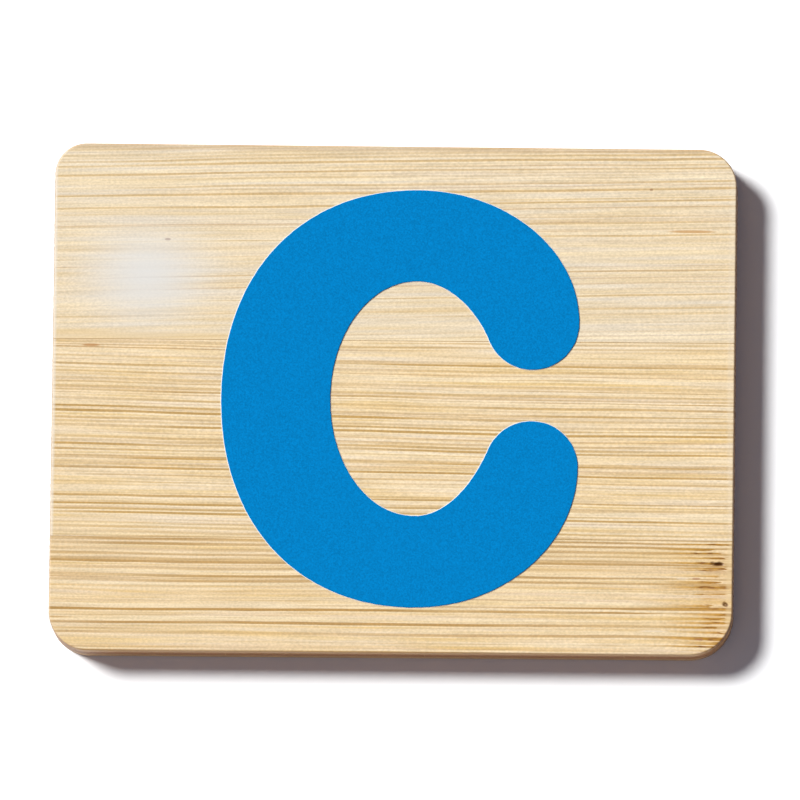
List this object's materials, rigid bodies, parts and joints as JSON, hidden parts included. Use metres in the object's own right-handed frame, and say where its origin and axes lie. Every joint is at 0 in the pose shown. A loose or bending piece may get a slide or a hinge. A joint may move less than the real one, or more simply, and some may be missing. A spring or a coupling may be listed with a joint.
{
  "type": "bamboo letter tile",
  "caption": "Thin rectangular bamboo tile with rounded corners, glued up from crossed plies of flat strips, with a large rounded capital letter printed on its face.",
  "frame": {"origin": "middle of the back face, which lies on the table", "axes": "+X along the tile's length in the reading direction, +Y towards the top of the letter, +Z out of the printed face"},
  "size_m": [0.06, 0.045, 0.0041],
  "materials": {
    "pale_bamboo": "satin lacquer",
    "warm_bamboo": "satin lacquer",
    "golden_bamboo": "satin lacquer",
    "core_bamboo": "sanded edge, satin lacquer",
    "blue_ink": "matte print"
  },
  "bodies": {
    "root": {"face_strip_upper": "pale_bamboo", "face_strip_middle": "warm_bamboo", "face_strip_lower": "golden_bamboo", "core_strip_left": "core_bamboo", "core_strip_centre_left": "core_bamboo", "core_strip_centre_right": "core_bamboo", "core_strip_right": "core_bamboo", "back_strip_upper": "golden_bamboo", "back_strip_middle": "warm_bamboo", "back_strip_lower": "pale_bamboo", "letter_print": "blue_ink"}
  },
  "joints": []
}
